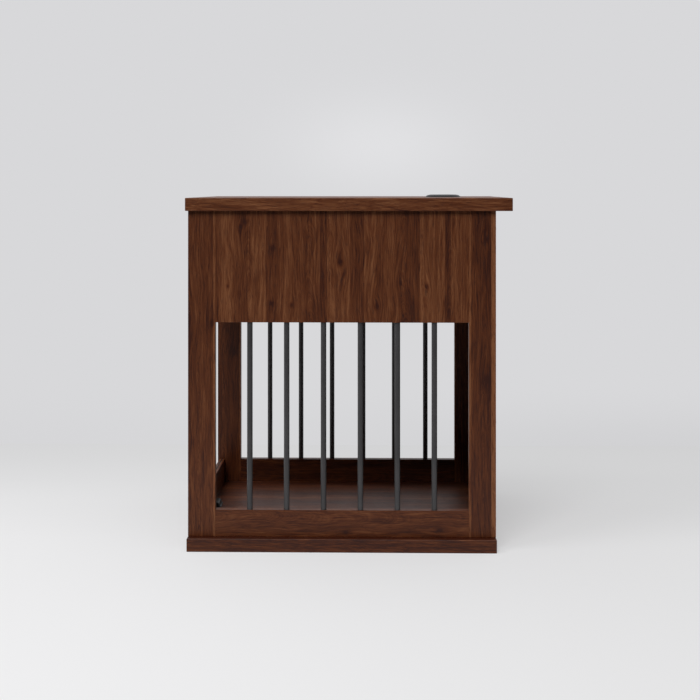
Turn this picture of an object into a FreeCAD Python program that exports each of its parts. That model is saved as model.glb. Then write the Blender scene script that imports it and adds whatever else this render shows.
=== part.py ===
import FreeCAD, Part
import os
from FreeCAD import Vector

os.makedirs("parts", exist_ok=True)

# ---------------------------------------------------------------- driving dimensions (mm)
# X runs from the open front (-) to the closed back (+), Y from the near side (-) to the
# far side (+), Z up.  Everything is built about the middle of the body and moved at
# export, so that the origin ends up under the middle of the whole table.
BODY_L = 600.0            # along X, over the posts and the back panel
BODY_W = 510.0            # along Y, over the outer faces of the two side frames
FRAME_H = 634.3           # height of the side frames between the two boards
FRAME_T = 18.0            # thickness of the side frames
BASE_T = 25.4             # base board
BASE_SIDE = 22.0          # how far the base board stands out on the long sides
TOP_T = 25.4              # top board
TOP_FRONT = 5.0           # its overhangs at the front, at the back and on each side
TOP_BACK = 32.0
TOP_SIDE = 8.0
EASED = 0.8               # bevel on all edges of these two boards

FRONT_POST = 53.2         # widths of the posts along X
BACK_POST = 43.3
RAIL_H = 51.3             # lower rail
PANEL_H = 217.4           # solid upper panel
BACK_T = 9.0              # back panel, laid over the ends of the side frames
CORD_W = 40.0             # notch for the charger's cord in the back panel's top edge
CORD_D = 16.0

BAR_R = 5.45              # upright round bars of the side frames
BAR_PITCH = 72.05
BAR_COUNT = 6
BAR_INSET = 7.0           # bar centre behind the outer face
BAR_SEAT = 10.0           # how deep a bar is let into the wood
SEAT_GAP = 0.15           # glue gap round and past anything let into the wood

THRESHOLD_IN = 4.0        # board across the bottom of the doorway, behind the front
THRESHOLD_T = 12.0
THRESHOLD_LET = 8.0       # how deep its ends are let into the posts
SEAL_W = 1.8              # rubber strip along the middle of its top edge
SEAL_D = 3.0
BLOCK_L = 21.0            # round-topped corner block between threshold and base board
BLOCK_W = 40.0
BLOCK_H = 10.5
BLOCK_R = 6.0
BLOCK_FOOT_L = 3.0        # its foot
BLOCK_FOOT_H = 1.8

SHELF_T = 12.0            # board over the crate, under the drawer
SHELF_LET = 6.0           # how deep its edges are let into the side frames
SHELF_FRONT = 4.0         # how far it stays behind the front

# gate: turns on pins in two sliders, which run back under the shelf
GATE_T = 14.0
GATE_UNDER = 12.7         # gate put away: its underside above the upper panel's lower edge
GATE_FRONT = 3.0          # how far the gate stays behind the front
GATE_SIDE = 3.0           # gap at each side
GATE_FLOOR = 2.8          # gap over the threshold when the gate is shut
GATE_OVER = 5.0           # gap under the shelf
STILE_W = 36.0
TOP_RAIL_W = 36.0
BOTTOM_RAIL_W = 46.0
GATE_BAR_R = 4.0
GATE_BAR_PITCH = 66.0
GATE_BAR_COUNT = 5
PULL_W = 104.0            # finger notch in the gate's free edge
PULL_D = 14.0
PIN_R = 3.0
PIN_RUN = 0.05            # running clearance of a pin in its slider
PIN_LET = 14.0            # how deep a pin is set into the gate's stile
PIN_FIT = 0.02
TRACK_H = 12.0            # groove for the sliders, with its U-shaped liner
TRACK_D = 8.0
TRACK_WALL = 1.0
TRACK_STOP = 3.0          # closed end of the liner at the front
TRACK_SPARE = 4.0         # room behind the sliders
SLIDER_PLAY = 0.2         # slider in its liner, above, below and behind
SLIDER_OUT = 1.0          # how far a slider stands out of the groove
SLIDER_FRONT = 6.0        # slider before and behind the pin
SLIDER_BACK = 34.0
SLIDER_WALL = 0.7         # left behind the pin's hole
CROSS_R = 4.0             # rod that keeps the two sliders level
CROSS_BEHIND = 24.0
CROSS_LET = 2.8
CATCH_Y = -95.0           # magnetic catch: middle, off the finger notch
CATCH_W = 30.0
CATCH_T = 8.5
CATCH_DOWN = 24.7
CATCH_UP = 17.3
CATCH_GAP = 0.4           # between its lug and the shut gate
STRIKE_IN = 2.0           # steel strike plate let into the gate
STRIKE_L = 11.0
STRIKE_W = 28.0
STRIKE_T = 1.0

# drawer above the shelf
DRAWER_REVEAL = 2.5       # gaps over, under and beside its front
DRAWER_BESIDE = 2.0
DRAWER_FRONT_T = 18.0
DRAWER_WALL = 12.0
DRAWER_BOX_L = 442.0
DRAWER_UNDER = 12.0       # box above the shelf, and below the top board
DRAWER_OVER = 29.7
DRAWER_BOTTOM_T = 5.0
DRAWER_BOTTOM_UP = 6.0
DRAWER_LET = 5.0          # grooves for the bottom
NOTCH_W = 100.0           # finger notch in the front's top edge
NOTCH_D = 24.0
RUNNER_GAP = 12.5         # between the drawer's sides and the side frames
RUNNER_UP = 62.0          # middle of the runners above the drawer box's underside
RUNNER_L = 400.0
RUNNER_IN = 22.0
RUNNER_H = 45.0
RUNNER_D = 8.5
SLIDE_D = 9.0
SLIDE_PLAY = 0.3          # drawer's rail between the flanges of the runner
SHEET = 1.5

# wireless charger let into the top
CHARGER_BACK = 122.5      # its middle from the top board's back edge
CHARGER_BORE_R = 30.0
CHARGER_PLAY = 0.5
CHARGER_RIM_R = 37.0
CHARGER_RIM_H = 1.2
CHARGER_SHOULDER_R = 33.5
CHARGER_SHOULDER_H = 4.1
CHARGER_TOP_R = 28.0
CHARGER_H = 5.3
CHARGER_DEEP = 40.0       # barrel below the top face
CHARGER_LIP = 1.0
CHARGER_PAD_T = 1.3
NUT_R = 36.0
NUT_H = 9.0
PORT_W = 12.0             # socket for its cord, under the barrel
PORT_L = 7.0
PORT_D = 8.0

BRACKET_L = 30.0          # angle brackets under the top board
BRACKET_LEG = 20.0
BRACKET_T = 2.0
BRACKET_FRONT_IN = 17.25  # brackets from the posts
BRACKET_BACK_IN = 47.25

# ---------------------------------------------------------------- derived
HL, HW = BODY_L / 2, BODY_W / 2
INNER = HW - FRAME_T                      # half the clear width between the side frames
MID = HW - FRAME_T / 2                    # middle of a side frame's thickness
Z_BASE = BASE_T
Z_TOP = Z_BASE + FRAME_H                  # underside of the top board
Z_PANEL = Z_TOP - PANEL_H
Z_RAIL = Z_BASE + RAIL_H
X_OPEN0 = -HL + FRONT_POST
X_BACK = HL - BACK_T
X_OPEN1 = X_BACK - BACK_POST
X_SILL0 = -HL + THRESHOLD_IN
X_SILL1 = X_SILL0 + THRESHOLD_T

AXIS_Z = Z_PANEL + GATE_UNDER + GATE_T / 2
AXIS_FRONT_X = -HL + GATE_FRONT + GATE_T / 2       # pins' place when the gate hangs shut
GATE_EDGE = -HL + GATE_FRONT                       # free edge with the gate put away
GATE_LEN = AXIS_Z - Z_RAIL - GATE_FLOOR
AXIS_X = GATE_EDGE + GATE_LEN                      # pins' place with the gate put away
TRACK_Z0, TRACK_Z1 = AXIS_Z - TRACK_H / 2, AXIS_Z + TRACK_H / 2
TRACK_END = AXIS_X + SLIDER_BACK + TRACK_SPARE
SHELF_Z = AXIS_Z + GATE_T / 2 + GATE_OVER

DRAWER_X0 = -HL
DRAWER_X1 = DRAWER_X0 + DRAWER_FRONT_T
DRAWER_X2 = DRAWER_X1 + DRAWER_BOX_L
DRAWER_Z0 = SHELF_Z + SHELF_T + DRAWER_UNDER
DRAWER_Z1 = Z_TOP - DRAWER_OVER
DRAWER_Y = INNER - RUNNER_GAP                      # outer faces of the drawer's sides
RUNNER_Z = DRAWER_Z0 + RUNNER_UP

CHARGER_X = HL + TOP_BACK - CHARGER_BACK
BARREL_R = CHARGER_BORE_R - CHARGER_PLAY
SHIFT = Vector(-(TOP_BACK - TOP_FRONT) / 2, 0, 0)
PAST = 1.0                # how far a cutting tool runs past the wood
SIDES = (("near", -1), ("far", 1))


def box(x0, x1, y0, y1, z0, z1):
    y0, y1 = min(y0, y1), max(y0, y1)
    return Part.makeBox(x1 - x0, y1 - y0, z1 - z0, Vector(x0, y0, z0))


def eased(board):
    return board.makeChamfer(EASED, board.Edges)


def rod(r, a, b):
    """Cylinder of radius r from point a to point b."""
    a, b = Vector(*a), Vector(*b)
    return Part.makeCylinder(r, (b - a).Length, a, b - a)


def cut(shape, tools):
    for tool in tools:
        shape = shape.cut(tool)
    return shape


def turned(profile, place):
    """Solid of revolution about Z from (radius, height) points, standing at place."""
    points = [Vector(r, 0, h) for r, h in profile]
    wire = Part.makePolygon(points + [points[0]])
    solid = Part.Face(wire).revolve(Vector(0, 0, 0), Vector(0, 0, 1), 360)
    solid.translate(Vector(*place))
    return solid


def save(name, shape):
    out = shape.copy()
    out.translate(SHIFT)
    out.exportStep("parts/%s.step" % name)


def save_group(name, solids):
    save(name, Part.makeCompound(solids))


def evenly(count, pitch):
    """Places along a line, centred on 0."""
    return [pitch * (i - (count - 1) / 2) for i in range(count)]


# ---------------------------------------------------------------- base and top boards
save("base_board", eased(box(-HL, HL, -HW - BASE_SIDE, HW + BASE_SIDE, 0, Z_BASE)))

top = box(-HL - TOP_FRONT, HL + TOP_BACK, -HW - TOP_SIDE, HW + TOP_SIDE, Z_TOP, Z_TOP + TOP_T)
bore = rod(CHARGER_BORE_R, (CHARGER_X, 0, Z_TOP - PAST), (CHARGER_X, 0, Z_TOP + TOP_T + PAST))
save("top_board", eased(top).cut(bore))

# angle brackets between the top board and the upper panels
brackets = []
for side, s in SIDES:
    for x in (X_OPEN0 + BRACKET_FRONT_IN, X_OPEN1 - BRACKET_BACK_IN - BRACKET_L):
        flat = box(x, x + BRACKET_L, s * (INNER - BRACKET_LEG), s * INNER, Z_TOP - BRACKET_T, Z_TOP)
        upright = box(x, x + BRACKET_L, s * (INNER - BRACKET_T), s * INNER,
                      Z_TOP - BRACKET_LEG, Z_TOP)
        brackets.append(flat.fuse(upright).removeSplitter())
save_group("top_brackets", brackets)

# ---------------------------------------------------------------- side frames
bar_xs = [(X_OPEN0 + X_OPEN1) / 2 + x for x in evenly(BAR_COUNT, BAR_PITCH)]
for side, s in SIDES:
    y_in, y_out, y_bar = s * INNER, s * HW, s * (HW - BAR_INSET)
    y_cut = s * (INNER - PAST)
    dado = box(-HL + SHELF_FRONT, HL, y_cut, s * (INNER + SHELF_LET), SHELF_Z, SHELF_Z + SHELF_T)
    groove = box(-HL - PAST, TRACK_END, y_cut, s * (INNER + TRACK_D), TRACK_Z0, TRACK_Z1)
    mortise = box(X_SILL0, X_SILL1, y_cut, s * (INNER + THRESHOLD_LET), Z_BASE - PAST, Z_RAIL)
    sockets = [rod(BAR_R + SEAT_GAP, (x, y_bar, Z_RAIL - BAR_SEAT - SEAT_GAP),
                   (x, y_bar, Z_PANEL + BAR_SEAT + SEAT_GAP)) for x in bar_xs]
    front_post = box(-HL, X_OPEN0, y_in, y_out, Z_BASE, Z_TOP)
    back_post = box(X_OPEN1, X_BACK, y_in, y_out, Z_BASE, Z_TOP)
    panel = box(X_OPEN0, X_OPEN1, y_in, y_out, Z_PANEL, Z_TOP)
    rail = box(X_OPEN0, X_OPEN1, y_in, y_out, Z_BASE, Z_RAIL)
    save(side + "_front_post", cut(front_post, [dado, groove, mortise]))
    save(side + "_back_post", back_post.cut(dado))
    save(side + "_upper_panel", cut(panel, [dado, groove] + sockets))
    save(side + "_lower_rail", cut(rail, sockets))
    for i, x in enumerate(bar_xs):
        save("%s_bar_%d" % (side, i + 1),
             rod(BAR_R, (x, y_bar, Z_RAIL - BAR_SEAT), (x, y_bar, Z_PANEL + BAR_SEAT)))

    # U-shaped liner of the gate's groove, its closed front end is the sliders' stop
    liner = box(-HL, TRACK_END, y_in, s * (INNER + TRACK_D), TRACK_Z0, TRACK_Z1)
    run = box(-HL + TRACK_STOP, TRACK_END + PAST, y_cut, s * (INNER + TRACK_D - TRACK_WALL),
              TRACK_Z0 + TRACK_WALL, TRACK_Z1 - TRACK_WALL)
    save("gate_track_" + side, liner.cut(run))

    # fixed half of a drawer runner, a channel open towards the drawer
    rx0, rh = -HL + RUNNER_IN, RUNNER_H / 2
    runner = box(rx0, rx0 + RUNNER_L, s * (INNER - RUNNER_D), y_in, RUNNER_Z - rh, RUNNER_Z + rh)
    hollow = box(rx0 - PAST, rx0 + RUNNER_L + PAST, s * (INNER - RUNNER_D - PAST), s * (INNER - SHEET),
                 RUNNER_Z - rh + SHEET, RUNNER_Z + rh - SHEET)
    save("drawer_runner_" + side, runner.cut(hollow))

# ---------------------------------------------------------------- back, threshold, shelf
back = box(X_BACK, HL, -HW, HW, Z_BASE, Z_TOP)
cord_notch = box(X_BACK - PAST, HL + PAST, -CORD_W / 2, CORD_W / 2, Z_TOP - CORD_D, Z_TOP + PAST)
save("back_panel", back.cut(cord_notch))

reach = INNER + THRESHOLD_LET
seal_x = (X_SILL0 + X_SILL1) / 2
seal = box(seal_x - SEAL_W / 2, seal_x + SEAL_W / 2, -INNER, INNER, Z_RAIL - SEAL_D, Z_RAIL)
save("threshold", box(X_SILL0, X_SILL1, -reach, reach, Z_BASE, Z_RAIL).cut(seal))
save("doorway_seal", seal)

block_x = X_SILL1 + BLOCK_L - BLOCK_FOOT_L        # its round back, above the foot
block = box(X_SILL1, block_x, -BLOCK_W / 2, BLOCK_W / 2, Z_BASE, Z_BASE + BLOCK_H)
top_edge = [e for e in block.Edges
            if e.BoundBox.XMin > block_x - PAST and e.BoundBox.ZMin > Z_BASE + BLOCK_H - PAST]
foot = box(X_SILL1, X_SILL1 + BLOCK_L, -BLOCK_W / 2, BLOCK_W / 2, Z_BASE, Z_BASE + BLOCK_FOOT_H)
save("threshold_block", block.makeFillet(BLOCK_R, top_edge).fuse(foot).removeSplitter())
save("shelf", box(-HL + SHELF_FRONT, X_BACK, -INNER - SHELF_LET, INNER + SHELF_LET,
                  SHELF_Z, SHELF_Z + SHELF_T))

# ---------------------------------------------------------------- wireless charger
z = Z_TOP + TOP_T
well_r, well_z = CHARGER_TOP_R - CHARGER_LIP, CHARGER_H - 1.2 * CHARGER_PAD_T
housing = turned(
    [(0, -CHARGER_DEEP), (BARREL_R, -CHARGER_DEEP), (BARREL_R, 0), (CHARGER_RIM_R, 0),
     (CHARGER_RIM_R, CHARGER_RIM_H), (CHARGER_SHOULDER_R, CHARGER_SHOULDER_H),
     (CHARGER_TOP_R, CHARGER_H), (well_r, CHARGER_H), (well_r, well_z), (0, well_z)],
    (CHARGER_X, 0, z))
port = box(CHARGER_X - PORT_L / 2, CHARGER_X + PORT_L / 2, -PORT_W / 2, PORT_W / 2,
           z - CHARGER_DEEP - PAST, z - CHARGER_DEEP + PORT_D)
save("charger_housing", housing.cut(port))
save("charger_pad", rod(well_r - SEAT_GAP, (CHARGER_X, 0, z + well_z),
                        (CHARGER_X, 0, z + well_z + CHARGER_PAD_T)))
nut = rod(NUT_R, (CHARGER_X, 0, Z_TOP - NUT_H), (CHARGER_X, 0, Z_TOP))
save("charger_nut", nut.cut(rod(BARREL_R + SEAT_GAP, (CHARGER_X, 0, Z_TOP - NUT_H - PAST),
                                (CHARGER_X, 0, Z_TOP + PAST))))

# ---------------------------------------------------------------- drawer
y_wall = DRAWER_Y - DRAWER_WALL           # inner faces of the drawer's sides
bz = DRAWER_Z0 + DRAWER_BOTTOM_UP
bottom = box(DRAWER_X1 - DRAWER_LET, DRAWER_X2 - DRAWER_WALL + DRAWER_LET,
             -y_wall - DRAWER_LET, y_wall + DRAWER_LET, bz, bz + DRAWER_BOTTOM_T)
zf = Z_TOP - DRAWER_REVEAL                # top edge of the drawer's front
yf = INNER - DRAWER_BESIDE
front = box(DRAWER_X0, DRAWER_X1, -yf, yf, SHELF_Z + SHELF_T + DRAWER_REVEAL, zf)
ny = NOTCH_W / 2 - NOTCH_D
notch = [box(DRAWER_X0 - PAST, DRAWER_X1 + PAST, -ny, ny, zf - NOTCH_D, zf + PAST)]
notch += [rod(NOTCH_D, (DRAWER_X0 - PAST, y, zf), (DRAWER_X1 + PAST, y, zf)) for y in (-ny, ny)]
save("drawer_front", cut(front, notch + [bottom]))
for side, s in SIDES:
    wall = box(DRAWER_X1, DRAWER_X2, s * y_wall, s * DRAWER_Y, DRAWER_Z0, DRAWER_Z1)
    save("drawer_side_" + side, wall.cut(bottom))
    # moving half of a runner, between the flanges of the fixed half
    rx0, rh = -HL + RUNNER_IN, RUNNER_H / 2 - SHEET - SLIDE_PLAY
    slide = box(rx0, rx0 + RUNNER_L, s * DRAWER_Y, s * (DRAWER_Y + SLIDE_D),
                RUNNER_Z - rh, RUNNER_Z + rh)
    hollow = box(rx0 - PAST, rx0 + RUNNER_L + PAST, s * (DRAWER_Y + SHEET),
                 s * (DRAWER_Y + SLIDE_D + PAST), RUNNER_Z - rh + SHEET, RUNNER_Z + rh - SHEET)
    save("drawer_slide_" + side, slide.cut(hollow))
rear = box(DRAWER_X2 - DRAWER_WALL, DRAWER_X2, -y_wall, y_wall, DRAWER_Z0, DRAWER_Z1)
save("drawer_back", rear.cut(bottom))
save("drawer_bottom", bottom)

# ---------------------------------------------------------------- gate's carriage
cross_x = AXIS_X + CROSS_BEHIND
slider_z = TRACK_H / 2 - TRACK_WALL - SLIDER_PLAY
slider_y = INNER + TRACK_D - TRACK_WALL - SLIDER_PLAY
for side, s in SIDES:
    slider = box(AXIS_X - SLIDER_FRONT, AXIS_X + SLIDER_BACK, s * (INNER - SLIDER_OUT), s * slider_y,
                 AXIS_Z - slider_z, AXIS_Z + slider_z)
    mouth = s * (INNER - SLIDER_OUT - PAST)
    pin_hole = rod(PIN_R + PIN_RUN, (AXIS_X, mouth, AXIS_Z), (AXIS_X, s * (slider_y - SLIDER_WALL), AXIS_Z))
    rod_hole = rod(CROSS_R + SEAT_GAP, (cross_x, mouth, AXIS_Z),
                   (cross_x, s * (INNER - SLIDER_OUT + CROSS_LET + SEAT_GAP), AXIS_Z))
    save("gate_slider_" + side, cut(slider, [pin_hole, rod_hole]))
cross_y = INNER - SLIDER_OUT + CROSS_LET
save("gate_cross_bar", rod(CROSS_R, (cross_x, -cross_y, AXIS_Z), (cross_x, cross_y, AXIS_Z)))

# ---------------------------------------------------------------- gate, put away under the shelf
gate_y = INNER - GATE_SIDE
y_stile = gate_y - STILE_W
gz0, gz1 = AXIS_Z - GATE_T / 2, AXIS_Z + GATE_T / 2
x_top = AXIS_X + GATE_T / 2 - TOP_RAIL_W          # inner edge of the rail at the pins
x_bottom = GATE_EDGE + BOTTOM_RAIL_W              # inner edge of the rail at the free end
gate_ys = evenly(GATE_BAR_COUNT, GATE_BAR_PITCH)
gate_sockets = [rod(GATE_BAR_R + SEAT_GAP, (x_bottom - BAR_SEAT - SEAT_GAP, y, AXIS_Z),
                    (x_top + BAR_SEAT + SEAT_GAP, y, AXIS_Z)) for y in gate_ys]


def rounded_end(x0, y0, y1):
    """Board from x0 to the pins, its end rounded about the pins' axis."""
    y0, y1 = min(y0, y1), max(y0, y1)
    flat = box(x0, AXIS_X, y0, y1, gz0, gz1)
    end = rod(GATE_T / 2, (AXIS_X, y0, AXIS_Z), (AXIS_X, y1, AXIS_Z))
    return flat.fuse(end).removeSplitter()


pins = []
for side, s in SIDES:
    pin_seat = rod(PIN_R + PIN_FIT, (AXIS_X, s * (gate_y - PIN_LET), AXIS_Z),
                   (AXIS_X, s * (gate_y + PAST), AXIS_Z))
    save("gate_stile_" + side, rounded_end(GATE_EDGE, s * y_stile, s * gate_y).cut(pin_seat))
    pins.append(rod(PIN_R, (AXIS_X, s * (gate_y - PIN_LET), AXIS_Z),
                    (AXIS_X, s * (slider_y - 2 * SLIDER_WALL), AXIS_Z)))
save_group("gate_pins", pins)
save("gate_top_rail", cut(rounded_end(x_top, -y_stile, y_stile), gate_sockets))

py = PULL_W / 2 - PULL_D
pull = [box(GATE_EDGE - PAST, GATE_EDGE + PULL_D, -py, py, gz0 - PAST, gz1 + PAST)]
pull += [rod(PULL_D, (GATE_EDGE, y, gz0 - PAST), (GATE_EDGE, y, gz1 + PAST)) for y in (-py, py)]
strike = box(GATE_EDGE + STRIKE_IN, GATE_EDGE + STRIKE_IN + STRIKE_L,
             CATCH_Y - STRIKE_W / 2, CATCH_Y + STRIKE_W / 2, gz0, gz0 + STRIKE_T)
bottom_rail = box(GATE_EDGE, x_bottom, -y_stile, y_stile, gz0, gz1)
save("gate_bottom_rail", cut(bottom_rail, gate_sockets + pull + [strike]))
save("gate_strike", strike)
for i, y in enumerate(gate_ys):
    save("gate_bar_%d" % (i + 1),
         rod(GATE_BAR_R, (x_bottom - BAR_SEAT, y, AXIS_Z), (x_top + BAR_SEAT, y, AXIS_Z)))

# magnetic catch on the threshold, its lug just behind the shut gate
c0, c1 = CATCH_Y - CATCH_W / 2, CATCH_Y + CATCH_W / 2
catch_x1 = X_SILL1 + CATCH_T
catch = box(X_SILL1, catch_x1, c0, c1, Z_RAIL - CATCH_DOWN, Z_RAIL)
lug = box(AXIS_FRONT_X + GATE_T / 2 + CATCH_GAP, catch_x1, c0, c1, Z_RAIL, Z_RAIL + CATCH_UP)
save("gate_catch", catch.fuse(lug).removeSplitter())
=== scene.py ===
import bmesh
import bpy
import math
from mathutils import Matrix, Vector


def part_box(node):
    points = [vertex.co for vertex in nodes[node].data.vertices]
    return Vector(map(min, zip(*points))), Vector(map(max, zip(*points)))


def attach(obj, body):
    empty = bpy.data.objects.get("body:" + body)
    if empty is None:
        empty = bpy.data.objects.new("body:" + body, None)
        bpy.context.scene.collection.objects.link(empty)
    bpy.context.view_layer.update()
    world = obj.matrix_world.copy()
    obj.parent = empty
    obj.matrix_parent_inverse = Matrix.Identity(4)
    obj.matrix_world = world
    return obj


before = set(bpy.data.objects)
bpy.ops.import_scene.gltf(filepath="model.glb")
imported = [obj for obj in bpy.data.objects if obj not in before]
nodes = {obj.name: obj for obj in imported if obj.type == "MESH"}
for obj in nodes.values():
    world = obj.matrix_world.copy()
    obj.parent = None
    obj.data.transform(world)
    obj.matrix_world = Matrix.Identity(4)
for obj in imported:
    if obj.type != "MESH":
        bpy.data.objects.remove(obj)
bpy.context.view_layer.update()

# ------------------------------------------------------------------ camera
# Level camera a little right of the middle, turned about one degree to the left.
CAMERA_AT = (0.0562, -2.8717, 0.7049)
CAMERA_YAW = math.atan(0.02042)
CAMERA_LENS = 69.13                   # mm
CAMERA_SENSOR = 36.0                  # mm
CAMERA_SHIFT = -0.2318
CAMERA_REACH = 50.0                   # m

camera = bpy.data.objects.new("camera", bpy.data.cameras.new("camera"))
bpy.context.scene.collection.objects.link(camera)
camera.location = CAMERA_AT
camera.rotation_euler = (math.pi / 2, 0.0, CAMERA_YAW)
camera.data.sensor_width = CAMERA_SENSOR
camera.data.lens = CAMERA_LENS
camera.data.shift_y = CAMERA_SHIFT
camera.data.clip_end = CAMERA_REACH
bpy.context.scene.camera = camera
bpy.context.scene.view_settings.view_transform = "Standard"


# ------------------------------------------------------------------ colours and nodes
def srgb(r, g, b):
    """0 to 255 screen colour as a linear RGBA."""
    def lin(c):
        c /= 255.0
        return c / 12.92 if c <= 0.04045 else ((c + 0.055) / 1.055) ** 2.4
    return (lin(r), lin(g), lin(b), 1.0)


class Tree:
    """Short names for building the nodes of a material, or of a world handed in as owner."""

    def __init__(self, name, owner=None):
        self.mat = owner or bpy.data.materials.new(name)
        self.mat.use_nodes = True
        self.nt = self.mat.node_tree
        self.nt.nodes.clear()
        self.out = self.new("ShaderNodeOutputWorld" if owner else "ShaderNodeOutputMaterial")

    def new(self, kind, **settings):
        node = self.nt.nodes.new(kind)
        for key, value in settings.items():
            setattr(node, key, value)
        return node

    def put(self, socket, value):
        """Links a socket to another one, or sets its value."""
        if isinstance(value, bpy.types.NodeSocket):
            self.nt.links.new(value, socket)
        elif value is not None:
            socket.default_value = value

    def math(self, op, a, b=None, c=None):
        node = self.new("ShaderNodeMath", operation=op)
        for socket, value in zip(node.inputs, (a, b, c)):
            self.put(socket, value)
        return node.outputs[0]

    def add(self, a, b):
        return self.math("ADD", a, b)

    def sub(self, a, b):
        return self.math("SUBTRACT", a, b)

    def mul(self, a, b):
        return self.math("MULTIPLY", a, b)

    def mul_add(self, a, b, c):
        return self.math("MULTIPLY_ADD", a, b, c)

    def place(self):
        return self.new("ShaderNodeTexCoord").outputs["Object"]

    def split(self, vector):
        node = self.new("ShaderNodeSeparateXYZ")
        self.put(node.inputs[0], vector)
        return node.outputs

    def join(self, x, y, z):
        node = self.new("ShaderNodeCombineXYZ")
        for socket, value in zip(node.inputs, (x, y, z)):
            self.put(socket, value)
        return node.outputs[0]

    def noise(self, vector, scale=1.0, detail=2.0, rough=0.5):
        node = self.new("ShaderNodeTexNoise")
        self.put(node.inputs["Vector"], vector)
        for key, value in (("Scale", scale), ("Detail", detail), ("Roughness", rough)):
            self.put(node.inputs[key], value)
        return node.outputs["Fac"]

    def cells(self, dimensions, socket, at):
        """Random cells one unit wide; socket is the name of the input that at goes into."""
        node = self.new("ShaderNodeTexVoronoi", voronoi_dimensions=dimensions)
        self.put(node.inputs[socket], at)
        self.put(node.inputs["Scale"], 1.0)
        return node.outputs

    def smooth(self, value, low, high, to_low=0.0, to_high=1.0):
        node = self.new("ShaderNodeMapRange", interpolation_type="SMOOTHSTEP")
        for socket, v in zip(node.inputs, (value, low, high, to_low, to_high)):
            self.put(socket, v)
        return node.outputs[0]

    def bell(self, a, b, fall):
        """1 where a and b are 0, falling off all round."""
        square = self.mul_add(a, a, self.mul(b, b))
        return self.math("POWER", math.e, self.mul(square, -fall))

    def ramp(self, value, stops, kind="LINEAR"):
        node = self.new("ShaderNodeValToRGB")
        node.color_ramp.interpolation = kind
        elements = node.color_ramp.elements
        while len(elements) < len(stops):
            elements.new(0.5)
        for element, (at, colour) in zip(elements, stops):
            element.position = at
            element.color = colour
        self.put(node.inputs[0], value)
        return node.outputs[0]

    def blend(self, how, fac, a, b):
        node = self.new("ShaderNodeMix", data_type="RGBA", blend_type=how)
        self.put(node.inputs[0], fac)
        self.put(node.inputs[6], a)
        self.put(node.inputs[7], b)
        return node.outputs[2]

    def shaded(self, colour, level):
        """The colour times one level."""
        return self.blend("MULTIPLY", 1.0, colour, self.join(level, level, level))

    def bump(self, height, strength, distance):
        node = self.new("ShaderNodeBump")
        self.put(node.inputs["Strength"], strength)
        self.put(node.inputs["Distance"], distance)
        self.put(node.inputs["Height"], height)
        return node.outputs[0]

    def surface(self, **inputs):
        node = self.new("ShaderNodeBsdfPrincipled")
        for key, value in inputs.items():
            self.put(node.inputs[key.replace("_", " ")], value)
        self.nt.links.new(node.outputs[0], self.out.inputs[0])
        return self.mat


# ------------------------------------------------------------------ walnut
AXES = "XYZ"
WOOD = ((0.05, srgb(53, 17, 4)), (0.36, srgb(86, 41, 15)), (0.56, srgb(102, 54, 26)),
        (0.95, srgb(136, 85, 52)))    # colour from the darkest grain to the palest
PORE_DARK = srgb(40, 18, 9)

# The grain is built from layers around 0.5. A share says how much a layer moves the wood's value.
# Streaks: size across in m, length over size, draw, detail and roughness of the noise.
BROAD = (0.022, 9.0, 3.1, 3.0, 0.55)
RINGS = (0.0046, 20.0, 7.7, 4.0, 0.70)
LINES = (0.0048, 26.0, 5.3, 2.0, 0.55)
FIBRE = (0.0022, 26.0, 11.3, 2.0, 0.55)
BROAD_SHARE, RINGS_SHARE, FIBRE_SHARE = 0.40, 1.05, 0.95
LINE_THIN, LINE_MEAN, LINE_SHARE = 0.035, 0.85, 0.22

WAVER = (14.0, 9.0, 6.5)              # per metre: over the width, the thickness, along the grain
WAVER_SHIFT = 0.026                   # m that the waver moves the grain sideways

ARCHES = 130.0                        # arched bands per metre
ARCH_CURVE, ARCH_WAVER = 0.42, 0.16   # how far a strip's arch and the waver bend them
ARCH_DEPTH = 6.0                      # stretch over the thickness, so that edges show no bands
ARCH_VARIETY = (0.25, 0.8, 0.15, 1.0) # random range over which a strip goes from faint to full arches
ARCH_SHARE = 0.75

KNOT_CELL = (0.050, 0.115)            # m, width and length of a field with one small knot at most
KNOT_ODDS = (0.5, 0.95)               # a field's random number that gives no knot, and a full one
KNOT_HALO, KNOT_CORE = (3.2, 3.0), (12.0, 17.0)
KNOT_HALO_DARK, KNOT_BOW = 0.22, 0.030
CHOSEN_LONG, CHOSEN_BOW = 2.6, 0.9    # a chosen knot's length and bow over its radius
CHOSEN_BOW_FALL, CHOSEN_CORE_SHORT, CHOSEN_CORE_FALL = 0.5, 1.9, 2.6
KNOT_SHARE = 0.42

# how much paler the posts' painted edge highlight and the back panel's pale edge make the wood
HIGHLIGHT_AND_PALE_EDGE_SHARE = 0.36
# painted shade on the base's upper face at the foot of the posts: how much it darkens the wood, and how much
# it lowers the roughness there
LEDGE_SHADE_SHARE, LEDGE_SHADE_GLOSS = 0.90, 0.28

PORE_ACROSS, PORE_ALONG = 0.0009, 0.013
PORE_EDGE = (0.58, 0.70)              # noise at which a pore starts and is full
PORE_SHARE, PORE_ROUGH = 0.45, 0.15
WOOD_ROUGH, RINGS_ROUGH, WOOD_IOR = 0.40, 0.08, 1.38
WOOD_BUMP = (0.18, 0.0004)
STRIP_SPAN = 0.30                     # chosen strips are told between minus and plus this, in m


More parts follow.
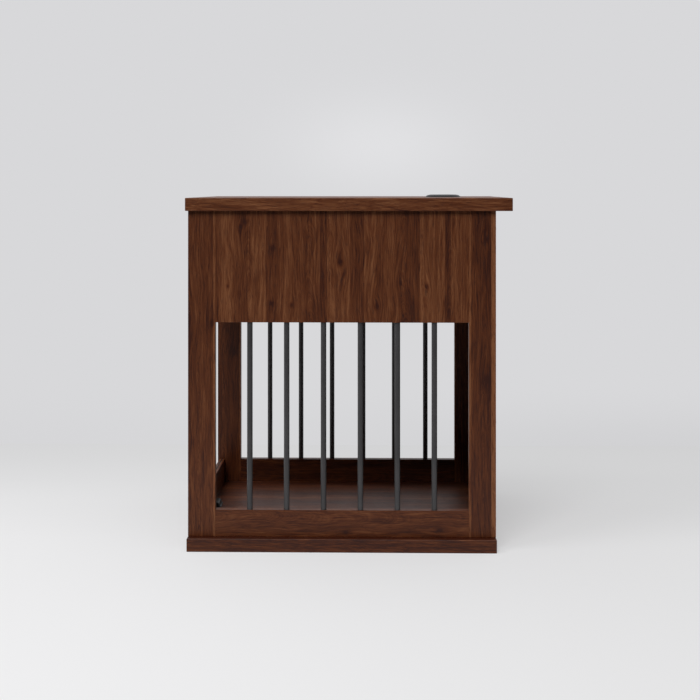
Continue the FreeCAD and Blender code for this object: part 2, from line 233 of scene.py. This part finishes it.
def small_knots(t, wide, along, seed):
    """Small knots here and there: how dark they are, and how far the grain bows round them."""
    cell = t.join(t.mul_add(wide, 1 / KNOT_CELL[0], seed), t.mul_add(along, 1 / KNOT_CELL[1], seed), 0.0)
    fields = t.cells("2D", "Vector", cell)
    offset = t.new("ShaderNodeVectorMath", operation="SUBTRACT")
    t.put(offset.inputs[0], cell)
    t.put(offset.inputs[1], fields["Position"])
    du, dv = t.split(offset.outputs[0])[:2]
    there = t.smooth(t.split(fields["Color"])[0], *KNOT_ODDS)

    halo, core = [t.mul(t.bell(t.mul(du, k_wide), t.mul(dv, k_along), 1.0), there)
                  for k_wide, k_along in (KNOT_HALO, KNOT_CORE)]
    return t.add(core, t.mul(halo, KNOT_HALO_DARK)), t.mul(t.mul(du, halo), KNOT_BOW)


def chosen_knot(t, wide, along, knot):
    """The same for one knot given as (across, along, radius)."""
    k_wide, k_along, radius = knot
    du = t.math("DIVIDE", t.sub(wide, k_wide), radius)
    dv = t.math("DIVIDE", t.sub(along, k_along), radius * CHOSEN_LONG)
    bow = t.mul(t.mul(du, t.bell(du, dv, CHOSEN_BOW_FALL)), radius * CHOSEN_BOW)
    return t.bell(du, t.mul(dv, CHOSEN_CORE_SHORT), CHOSEN_CORE_FALL), bow


def chosen_strips(t, wide, strips):
    """Tone of chosen strips, each given as (lower edge, tone)."""
    stops = [((edge + STRIP_SPAN) / (2 * STRIP_SPAN), (0.5 + tone,) * 3 + (1.0,)) for edge, tone in strips]
    steps = t.ramp(t.math("DIVIDE", t.sub(wide, -STRIP_SPAN), 2 * STRIP_SPAN), stops, "CONSTANT")
    return t.sub(t.split(steps)[0], 0.5)


def ledge_shade_at(t, wide, dark, clear):
    """Mask of painted shade: 1 on upper faces beyond dark, fading out to clear, both told from the board's
    middle.
    """
    upward = t.math("GREATER_THAN", t.split(t.new("ShaderNodeNewGeometry").outputs["Normal"])[2], 0.5)
    from_middle = t.math("ABSOLUTE", wide)
    fade = t.smooth(from_middle, dark, clear, 1.0, 0.0)
    return t.mul(t.mul(fade, t.math("GREATER_THAN", from_middle, dark)), upward)


def walnut(name, grain, across, seed, tone=0.0, stave=0.12, width=0.055, figure=1.0, knots=(),
           highlight_and_pale_edge=None, strips=(), ledge_shade=None):
    """Walnut with its grain along one axis. across is the axis over the board's width. stave is
    how much the glued-up strips, about width metres wide, differ in tone; strips are chosen ones
    as (lower edge, tone). knots are (across, along, radius) of chosen ones; a few small ones come
    by themselves. figure scales the grain's contrast. highlight_and_pale_edge is a (low, high) range
    over the width that is made paler: on a post a painted highlight along its edge, on the back panel
    its paler edge. ledge_shade is a (dark, clear) range over half the width where the upper face gets
    painted shade."""
    t = Tree(name)
    axes = t.split(t.place())
    along = axes[AXES.index(grain)]
    wide = axes[AXES.index(across)]
    third = axes[({0, 1, 2} - {AXES.index(grain), AXES.index(across)}).pop()]

    # sideways shift of the grain: a slow waver, and the bow round the knots
    waver = t.noise(t.join(t.mul(wide, WAVER[0]), t.mul(third, WAVER[1]),
                           t.mul_add(along, WAVER[2], seed)), 1.0, 3.0)
    shift = t.mul(t.sub(waver, 0.5), WAVER_SHIFT)
    dark_knot, bow = small_knots(t, wide, along, seed)
    shift = t.sub(shift, bow)
    for knot in knots:
        dark, bow = chosen_knot(t, wide, along, knot)
        shift = t.sub(shift, bow)
        dark_knot = t.add(dark_knot, dark)
    u = t.add(wide, shift)

    # glued-up strips of uneven width, each with its own tone and its own arched figure
    at = t.mul_add(wide, 1.0 / width, seed * 3.7)
    fields = t.cells("1D", "W", at)
    own_tone, own_arch, own_figure = t.split(fields["Color"])[:3]
    local = t.add(t.sub(at, fields["W"]), t.math("DIVIDE", shift, width))
    arch = t.mul_add(t.mul(local, local), ARCH_CURVE, along)
    arch = t.mul_add(waver, ARCH_WAVER, arch)
    arch = t.mul_add(third, ARCH_DEPTH, arch)
    arches = t.noise(t.join(t.mul(arch, ARCHES), t.mul(own_arch, 9.0), seed), 1.0, 2.0)
    arched = t.mul(t.sub(arches, 0.5), t.smooth(own_figure, *ARCH_VARIETY))

    # broad bands, growth rings, thin dark lines and fine fibre, all drawn out along the grain
    def streaks(size, stretch, draw, detail, rough):
        vector = t.join(t.math("DIVIDE", u, size), t.math("DIVIDE", third, size),
                        t.mul_add(along, 1.0 / (size * stretch), seed + draw))
        return t.noise(vector, 1.0, detail, rough)

    broad, rings, fibre = streaks(*BROAD), streaks(*RINGS), streaks(*FIBRE)
    lines = t.smooth(t.math("ABSOLUTE", t.sub(streaks(*LINES), 0.5)), 0.0, LINE_THIN)
    value = 0.5 + tone
    for layer, share in ((broad, BROAD_SHARE * figure), (rings, RINGS_SHARE * figure), (fibre, FIBRE_SHARE)):
        value = t.add(value, t.mul(t.sub(layer, 0.5), share))
    value = t.add(value, t.mul(arched, ARCH_SHARE * figure))
    value = t.add(value, t.mul(t.sub(lines, LINE_MEAN), LINE_SHARE * figure))
    value = t.add(value, t.mul(t.sub(own_tone, 0.5), stave))
    if strips:
        value = t.add(value, chosen_strips(t, wide, strips))
    value = t.sub(value, t.mul(dark_knot, KNOT_SHARE))

    # paler band: on a post a painted highlight along its edge at the opening, on the back panel its paler
    # edge
    if highlight_and_pale_edge:
        inside = t.mul(t.math("GREATER_THAN", wide, highlight_and_pale_edge[0]), t.math("LESS_THAN", wide, highlight_and_pale_edge[1]))
        value = t.mul_add(inside, HIGHLIGHT_AND_PALE_EDGE_SHARE, value)
    # painted shade: the base's upper face darkens where it meets the posts
    if ledge_shade:
        ledge_shade_mask = ledge_shade_at(t, wide, *ledge_shade)
        value = t.sub(value, t.mul(ledge_shade_mask, LEDGE_SHADE_SHARE))
    colour = t.ramp(value, WOOD)

    # open pores: short dark dashes along the grain
    pore = t.noise(t.join(t.math("DIVIDE", u, PORE_ACROSS), t.math("DIVIDE", third, PORE_ACROSS),
                          t.mul_add(along, 1.0 / PORE_ALONG, seed)), 1.0, 1.0)
    pore = t.smooth(pore, *PORE_EDGE)
    colour = t.blend("MIX", t.mul(pore, PORE_SHARE), colour, PORE_DARK)

    rough = t.mul_add(pore, PORE_ROUGH, WOOD_ROUGH)
    rough = t.add(rough, t.mul(rings, RINGS_ROUGH))
    if ledge_shade:
        rough = t.mul_add(ledge_shade_mask, -LEDGE_SHADE_GLOSS, rough)
    height = t.sub(t.mul(fibre, 0.5), pore)
    return t.surface(Base_Color=colour, Roughness=rough, IOR=WOOD_IOR, Normal=t.bump(height, *WOOD_BUMP))


# ------------------------------------------------------------------ other materials
PLAIN_IOR = 1.5
CLOUDS = 22.0                         # soft patches per metre
TINT, GLOSS = 0.12, 0.04              # how far the patches' tint and roughness stray either way
DRAWN_ALONG, DRAWN_ACROSS = 60.0, 2400.0    # the zinc's drawn lines per metre
FINE_BUMP = 0.0001


def plain(name, colour, rough, grain=0.0004, bump=0.1):
    """Paint, plastic or rubber with a fine texture and slight unevenness of gloss."""
    t = Tree(name)
    place = t.place()
    fine = t.noise(place, 1.0 / grain, 2.0)
    cloud = t.noise(place, CLOUDS, 3.0)
    base = t.shaded(colour, t.smooth(cloud, 0.3, 0.7, 1.0 - TINT, 1.0 + TINT))
    uneven = t.add(rough - GLOSS, t.mul(cloud, 2 * GLOSS))
    return t.surface(Base_Color=base, Roughness=uneven, IOR=PLAIN_IOR, Normal=t.bump(fine, bump, FINE_BUMP))


def brushed(name, colour, axis):
    """Zinc plate with a drawn finish along one axis."""
    t = Tree(name)
    place = [t.mul(a, DRAWN_ALONG if letter == axis else DRAWN_ACROSS)
             for letter, a in zip(AXES, t.split(t.place()))]
    lines = t.noise(t.join(*place), 1.0, 2.0)
    base = t.shaded(colour, t.smooth(lines, 0.2, 0.8, 0.8, 1.1))
    return t.surface(Base_Color=base, Roughness=t.smooth(lines, 0.2, 0.8, 0.28, 0.42), Metallic=1.0,
                     Normal=t.bump(lines, 0.08, FINE_BUMP))


BLACK_PAINT = plain("black_paint", (0.050, 0.048, 0.050, 1), 0.40, bump=0.12)
BLACK_PLASTIC = plain("black_plastic", (0.016, 0.017, 0.019, 1), 0.5, grain=0.0007, bump=0.3)
CHARGER_BLACK = plain("charger_black", (0.014, 0.015, 0.016, 1), 0.38, grain=0.0005, bump=0.15)
RUBBER = plain("rubber", (0.013, 0.013, 0.014, 1), 0.7, grain=0.0006, bump=0.35)
ZINC = brushed("zinc", (0.56, 0.56, 0.57, 1), "X")

# ------------------------------------------------------------------ dressing the nodes
EASE, MOULDED_EASE = 0.0005, 0.0012   # m taken off the edges of wood and of moulded blocks
SEED_STEP = 5.3
PAST = 1.0                            # m, past any edge of the part
# the posts' pale edge strip is a painted highlight, where the eased edge catches the light
POST_HIGHLIGHT = 0.0040                          # paler strip along a post's edge at the opening
VENEER = 0.0005                       # paler edge of the back panel
POST_STAVE, POST_STRIP = 0.2, 0.02
# The far side's darker tones are painted shade on the inner faces, where little light reaches inside the
# cabinet.
FRONT_POST_TONE_AND_SHADE = {"near": -0.11, "far": -0.24}
BACK_POST_TONE = -0.15
RAIL_TONE_AND_SHADE = {"near": -0.06, "far": -0.22}
PANEL_TONE, PANEL_STRIP = 0.01, 0.030
PANEL_STAVE = {"near": 0.12, "far": 0.42}
PANEL_KNOTS = {"near": ((-0.0163, 0.5590, 0.009), (0.1520, 0.5128, 0.007), (-0.2106, 0.6296, 0.004),
                        (-0.2357, 0.5128, 0.004), (-0.1500, 0.4800, 0.006), (-0.1120, 0.4760, 0.007)),
               "far": ((0.0900, 0.5500, 0.008),)}
DARK, PLAIN, PALE = -0.18, 0.0, 0.15  # tones of the strips glued up into the near panel
PANEL_STRIPS = {"near": ((-0.300, PLAIN), (-0.249, PALE), (-0.227, PLAIN), (-0.199, PALE), (-0.164, DARK),
                         (-0.142, PLAIN), (-0.057, DARK), (-0.043, PALE), (-0.026, PLAIN), (0.001, DARK),
                         (0.029, PALE), (0.053, PLAIN), (0.109, DARK), (0.137, PALE), (0.186, DARK),
                         (0.198, PALE), (0.220, PLAIN)),
                "far": ()}
# node: grain, across, tone, stave, strip width, figure
BOARDS = {
    "top_board": ("X", "Y", 0.10, 0.12, 0.04, 1.1),
    "base_board": ("X", "Y", -0.24, 0.50, 0.018, 1.2),
    "back_panel": ("Z", "Y", -0.02, 0.4, 0.04, 1.0),
    "threshold": ("Y", "Z", -0.02, 0.1, 0.04, 1.0),
    "shelf": ("Y", "X", 0.0, 0.12, 0.04, 1.0),
    "drawer_front": ("Z", "Y", 0.02, 0.4, 0.04, 1.0),
    "drawer_back": ("Y", "Z", 0.05, 0.1, 0.04, 1.0),
    "drawer_bottom": ("Y", "X", 0.0, 0.12, 0.04, 1.0),
    "gate_top_rail": ("Y", "X", 0.0, 0.1, 0.04, 1.0),
    "gate_bottom_rail": ("Y", "X", 0.0, 0.1, 0.04, 1.0),
}


def dress(node, material, ease=0.0):
    """Gives a CAD node its material, and eases its sharp edges by ease metres."""
    obj = nodes[node]
    obj.data.materials.clear()
    obj.data.materials.append(material)
    if ease:
        weld = obj.modifiers.new("join", "WELD")
        weld.merge_threshold = 0.00001
        bevel = obj.modifiers.new("ease", "BEVEL")
        bevel.width = ease
        bevel.segments = 2
        bevel.limit_method = "ANGLE"
        bevel.angle_limit = math.radians(60)
        bevel.use_clamp_overlap = False


seed = 1.0
for side in ("near", "far"):
    front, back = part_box(f"{side}_front_post"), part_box(f"{side}_back_post")
    for part, tone, highlight_and_pale_edge in (("front_post", FRONT_POST_TONE_AND_SHADE[side], (front[1].x - POST_HIGHLIGHT, PAST)),
                            ("back_post", BACK_POST_TONE, (-PAST, back[0].x + POST_HIGHLIGHT))):
        seed += SEED_STEP
        dress(f"{side}_{part}",
              walnut(f"wood_{side}_{part}", "Z", "X", seed, tone, POST_STAVE, POST_STRIP, highlight_and_pale_edge=highlight_and_pale_edge), EASE)
    seed += SEED_STEP
    dress(f"{side}_upper_panel",
          walnut(f"wood_{side}_panel", "Z", "X", seed, PANEL_TONE, PANEL_STAVE[side], PANEL_STRIP,
                 knots=PANEL_KNOTS[side], strips=PANEL_STRIPS[side]), EASE)
    seed += SEED_STEP
    dress(f"{side}_lower_rail", walnut(f"wood_{side}_rail", "X", "Z", seed, RAIL_TONE_AND_SHADE[side]), EASE)
    for i in range(6):
        dress(f"{side}_bar_{i + 1}", BLACK_PAINT)
    dress(f"drawer_side_{side}", walnut(f"wood_drawer_{side}", "X", "Z", seed + 2.0, 0.05), EASE)
    dress(f"gate_stile_{side}", walnut(f"wood_gate_{side}", "X", "Y", seed + 3.0), EASE)
    for node in ("gate_track", "gate_slider"):
        dress(f"{node}_{side}", BLACK_PLASTIC)
    for node in ("drawer_runner", "drawer_slide"):
        dress(f"{node}_{side}", ZINC)

for node, (grain, across, tone, stave, width, figure) in BOARDS.items():
    seed += SEED_STEP
    band = (-PAST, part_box(node)[0].y + VENEER) if node == "back_panel" else None
    # the base's upper face gets painted shade from the posts' outer face out to its edge
    shaded_ledge = (-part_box("near_front_post")[0].y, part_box(node)[1].y) if node == "base_board" else None
    dress(node, walnut("wood_" + node, grain, across, seed, tone, stave, width, figure, highlight_and_pale_edge=band,
                       ledge_shade=shaded_ledge), EASE)

for i in range(5):
    dress(f"gate_bar_{i + 1}", BLACK_PAINT)
dress("gate_cross_bar", BLACK_PAINT)
for node in ("doorway_seal", "charger_pad"):
    dress(node, RUBBER)
for node in ("threshold_block", "gate_catch"):
    dress(node, BLACK_PLASTIC, MOULDED_EASE)
dress("charger_nut", BLACK_PLASTIC)
dress("charger_housing", CHARGER_BLACK)
for node in ("top_brackets", "gate_pins", "gate_strike"):
    dress(node, ZINC)

# ------------------------------------------------------------------ screws
HEAD_HIGH, HEAD_SUNK = 0.0009, 0.0003
HEAD_SIDES = 20
HEAD_RIM = 0.22                       # over the radius: the rounded rim
RIM_IN, RIM_DOWN = 0.45, 0.35         # over the rim: the bend in its middle
CROSS_ARM, CROSS_HALF = 0.62, 0.17    # over the radius: the recess's reach and half its width
CROSS_DEEP, CROSS_TAPER = 0.0007, 0.8
BACK_SCREW_R, BRACKET_SCREW_R = 0.0036, 0.0032
BACK_SCREW_ROWS = 4
BACK_SCREW_END = 0.0346               # from the panel's end to the first screw
BRACKET_HALF = 0.015                  # half a bracket's width
BRACKET_T = 0.002                     # a bracket's plate
BRACKET_LEG = 0.012                   # from its corner to a screw's middle
BRACKET_STAGGER = 0.006               # its two screws stand this far off its middle, either way


def circle(r):
    turns = [math.tau * i / HEAD_SIDES for i in range(HEAD_SIDES)]
    return [(r * math.cos(a), r * math.sin(a)) for a in turns]


def around(ring):
    """A ring's neighbours in pairs, all the way round."""
    return zip(ring, ring[1:] + ring[:1])


def screw_heads(name, spots, radius):
    """Low domed heads with a cross recess, as one mesh. A spot is (middle on the surface,
    direction outwards)."""
    rim = radius * HEAD_RIM
    arm, half = radius * CROSS_ARM, radius * CROSS_HALF
    cross = [(arm, -half), (arm, half), (half, half), (half, arm), (-half, arm), (-half, half),
             (-arm, half), (-arm, -half), (-half, -half), (-half, -arm), (half, -arm), (half, -half)]
    narrow = [(x * CROSS_TAPER, y * CROSS_TAPER) for x, y in cross]
    profile = ((radius, -HEAD_SUNK), (radius, HEAD_HIGH - rim),
               (radius - rim * RIM_IN, HEAD_HIGH - rim * RIM_DOWN), (radius - rim, HEAD_HIGH))
    bm = bmesh.new()

    def wall(a, b):
        for (a0, a1), (b0, b1) in zip(around(a), around(b)):
            bm.faces.new((a0, a1, b1, b0))

    for middle, out in spots:
        turn = Vector(out).to_track_quat("Z", "Y")

        def ring(points, z):
            return [bm.verts.new(Vector(middle) + turn @ Vector((x, y, z))) for x, y in points]

        rings = [ring(circle(r), z) for r, z in profile]
        for a, b in zip(rings, rings[1:]):
            wall(a, b)
        bm.faces.new(rings[0][::-1])
        mouth, bottom = ring(cross, HEAD_HIGH), ring(narrow, HEAD_HIGH - CROSS_DEEP)
        wall(mouth, bottom)
        bm.faces.new(bottom)
        edges = [bm.edges.get(pair) for r in (rings[-1], mouth) for pair in around(r)]
        bmesh.ops.triangle_fill(bm, edges=edges, use_beauty=True)
    bmesh.ops.recalc_face_normals(bm, faces=bm.faces)
    mesh = bpy.data.meshes.new(name)
    bm.to_mesh(mesh)
    bm.free()
    obj = bpy.data.objects.new(name, mesh)
    bpy.context.scene.collection.objects.link(obj)
    mesh.materials.append(ZINC)
    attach(obj, "cabinet")


lo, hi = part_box("back_panel")
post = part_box("near_back_post")
post_mid = abs(post[0].y + post[1].y) / 2
pitch = (hi.z - lo.z - 2 * BACK_SCREW_END) / (BACK_SCREW_ROWS - 1)
rows = [lo.z + BACK_SCREW_END + i * pitch for i in range(BACK_SCREW_ROWS)]
screw_heads("back_screws", [((hi.x, s * post_mid, z), (1, 0, 0)) for s in (-1, 1) for z in rows],
            BACK_SCREW_R)

lo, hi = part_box("top_brackets")
mids = (lo.x + BRACKET_HALF, hi.x - BRACKET_HALF)
screw_heads("bracket_screws",
            [((x + BRACKET_STAGGER, s * (hi.y - BRACKET_LEG), hi.z - BRACKET_T), (0, 0, -1))
             for s in (-1, 1) for x in mids]
            + [((x - BRACKET_STAGGER, s * (hi.y - BRACKET_T), hi.z - BRACKET_LEG), (0, -s, 0))
               for s in (-1, 1) for x in mids], BRACKET_SCREW_R)

# ------------------------------------------------------------------ studio
BACKDROP = srgb(216, 216, 218)
BACKDROP_Y, BACKDROP_HIGH = 0.81, 5.0
STAGE = 9.0                           # half the width of the floor and the backdrop
# grey levels over the floor's depth, falling towards the backdrop as painted light falloff
FLOOR = ((-1.0, 238), (-0.58, 237), (-0.18, 235), (0.16, 229), (0.37, 223), (0.61, 218), (BACKDROP_Y, 215))
DOME_LOW, DOME_HIGH = 0.02, 1.05      # sky level near the horizon and what it gains overhead
DOME_FROM, DOME_TO = 0.5, 1.0         # sine of the heights between which it gains it
BOUNCE_LOW, BOUNCE = 0.1, 0.55        # how much of the floor's light goes on to the object, far off
BOUNCE_FROM, BOUNCE_TO = -2.4, -0.4   # and near it, and where it rises
MIRROR_FROM, MIRROR_TO = -2.4, -0.6   # where reflections come to see the floor as the camera does
SHADE_LEFT, SHADE_LEFT_BACK = 1.025, 0.985    # the floor's level on the left, and there at the back
SHADE_RIGHT, SHADE_FRONT = 0.935, 0.015       # its level on the right, and what it loses in front
WALL_SHADE_LEFT, WALL_SHADE_RIGHT = 0.02, 0.07    # what the backdrop loses low down
LIFT = (0.48, 0.50)                   # share of the floor's own colour in what the camera sees,
                                      # left and right of the table
# painted pool of light on the backdrop above the table
GLOW_AT, GLOW_SIZE = (0.06, 0.8216), (0.25, 0.13)    # soft bright patch on the backdrop
GLOW_GAIN = 0.095
LAMP_TARGET, LAMP_SIZE = (0, 0, 0.35), 4.8


def link(t, a, b):
    t.nt.links.new(a, b)


def shader_mix(t, fac, a, b):
    node = t.new("ShaderNodeMixShader")
    t.put(node.inputs[0], fac)
    link(t, a, node.inputs[1])
    link(t, b, node.inputs[2])
    return node.outputs[0]


def glow(t, colour, strength=1.0, kind="ShaderNodeEmission"):
    node = t.new(kind)
    t.put(node.inputs["Color"], colour)
    t.put(node.inputs["Strength"], strength)
    return node.outputs[0]


def matt(t, colour):
    node = t.new("ShaderNodeBsdfDiffuse")
    t.put(node.inputs["Color"], colour)
    return node.outputs[0]


def seen_directly(t, mirrored=1.0):
    """1 for rays that should see the background as a plain pale colour. mirrored is the share of it
    for reflections."""
    path = t.new("ShaderNodeLightPath")
    glossy = t.mul(path.outputs["Is Glossy Ray"], mirrored)
    seen = t.math("MAXIMUM", path.outputs["Is Camera Ray"], glossy)
    return t.math("MAXIMUM", seen, path.outputs["Is Transmission Ray"])


def sheet(name, corners, material):
    mesh = bpy.data.meshes.new(name)
    mesh.from_pydata(corners, [], [(0, 1, 2, 3)])
    obj = bpy.data.objects.new(name, mesh)
    bpy.context.scene.collection.objects.link(obj)
    mesh.materials.append(material)


def floor_material():
    """Pale floor with a soft shadow. Its colour darkens towards the backdrop as painted light falloff,
    and towards the right and a little in front as painted shadow. It throws less light than it shows."""
    t = Tree("floor")
    side, depth = t.split(t.place())[:2]
    near, far = FLOOR[0][0], FLOOR[-1][0]
    stops = [((y - near) / (far - near), srgb(v, v, v + 1)) for y, v in FLOOR]
    colour = t.ramp(t.math("DIVIDE", t.sub(depth, near), far - near), stops)
    thrown = matt(t, t.shaded(colour, t.smooth(depth, BOUNCE_FROM, BOUNCE_TO, BOUNCE_LOW, BOUNCE)))

    # painted shadow: the floor's colour is darker to the right and in front, lighter on the left
    left = t.smooth(depth, 0.1, 0.7, SHADE_LEFT, SHADE_LEFT_BACK)
    shade = t.smooth(side, -0.7, 0.7, left, SHADE_RIGHT)
    shade = t.sub(shade, t.smooth(depth, -0.1, -0.6, 0.0, SHADE_FRONT))
    colour = t.shaded(colour, shade)
    lift = t.smooth(side, -0.4, 0.3, *LIFT)
    own = t.add(lift, t.mul(t.sub(1.0, lift), t.smooth(depth, 0.0, BACKDROP_Y)))
    shown = shader_mix(t, own, matt(t, colour), glow(t, colour))

    seen = seen_directly(t, t.smooth(depth, MIRROR_FROM, MIRROR_TO))
    link(t, shader_mix(t, seen, thrown, shown), t.out.inputs[0])
    return t.mat


def backdrop_material():
    """Plain pale wall for direct looks and reflections, clear for the sky's light and from behind.
    It darkens a little low down, most to the right, as painted shade, and has a soft bright patch of painted
    light."""
    t = Tree("backdrop")
    clear = t.new("ShaderNodeBsdfTransparent").outputs[0]
    behind = t.new("ShaderNodeNewGeometry").outputs["Backfacing"]
    shown = t.mul(seen_directly(t), t.sub(1.0, behind))
    side, _, height = t.split(t.place())[:3]
    low_shade = t.mul(t.smooth(side, -0.3, 0.6, WALL_SHADE_LEFT, WALL_SHADE_RIGHT),
                      t.smooth(height, -0.02, 0.17, 1.0, 0.0))
    patch = t.bell(*[t.mul_add(a, 1 / size, -at / size)
                     for a, at, size in zip((side, height), GLOW_AT, GLOW_SIZE)], 1.0)
    level = t.mul_add(patch, GLOW_GAIN, t.sub(1.0, low_shade))
    link(t, shader_mix(t, shown, clear, glow(t, t.shaded(BACKDROP, level))), t.out.inputs[0])
    return t.mat


def lamp(name, place, power):
    data = bpy.data.lights.new(name, "AREA")
    data.shape = "SQUARE"
    data.size = LAMP_SIZE
    data.energy = power
    obj = bpy.data.objects.new(name, data)
    bpy.context.scene.collection.objects.link(obj)
    obj.location = place
    obj.rotation_euler = (Vector(LAMP_TARGET) - Vector(place)).to_track_quat("-Z", "Y").to_euler()
    obj.visible_camera = False


sheet("floor", [(-STAGE, -STAGE, 0), (STAGE, -STAGE, 0), (STAGE, STAGE, 0), (-STAGE, STAGE, 0)],
      floor_material())
sheet("backdrop", [(-STAGE, BACKDROP_Y, 0), (STAGE, BACKDROP_Y, 0), (STAGE, BACKDROP_Y, BACKDROP_HIGH),
                   (-STAGE, BACKDROP_Y, BACKDROP_HIGH)], backdrop_material())

# sky: bright overhead and dim up to thirty degrees. The camera sees the backdrop's colour instead,
# and so do reflections of the side where the backdrop stands.
world = bpy.data.worlds.new("studio")
bpy.context.scene.world = world
t = Tree("studio", world)
_, ahead, height = t.split(t.new("ShaderNodeTexCoord").outputs["Generated"])[:3]
dome = t.smooth(height, DOME_FROM, DOME_TO, DOME_LOW, DOME_LOW + DOME_HIGH)
link(t, shader_mix(t, seen_directly(t, t.smooth(ahead, 0.0, 0.3)),
                   glow(t, (1, 1, 1, 1), dome, "ShaderNodeBackground"),
                   glow(t, BACKDROP, 1.0, "ShaderNodeBackground")), t.out.inputs[0])

lamp("key", (-1.47, -6.94, 8.23), 545.0)
lamp("side", (-6.62, -3.52, 7.85), 225.0)
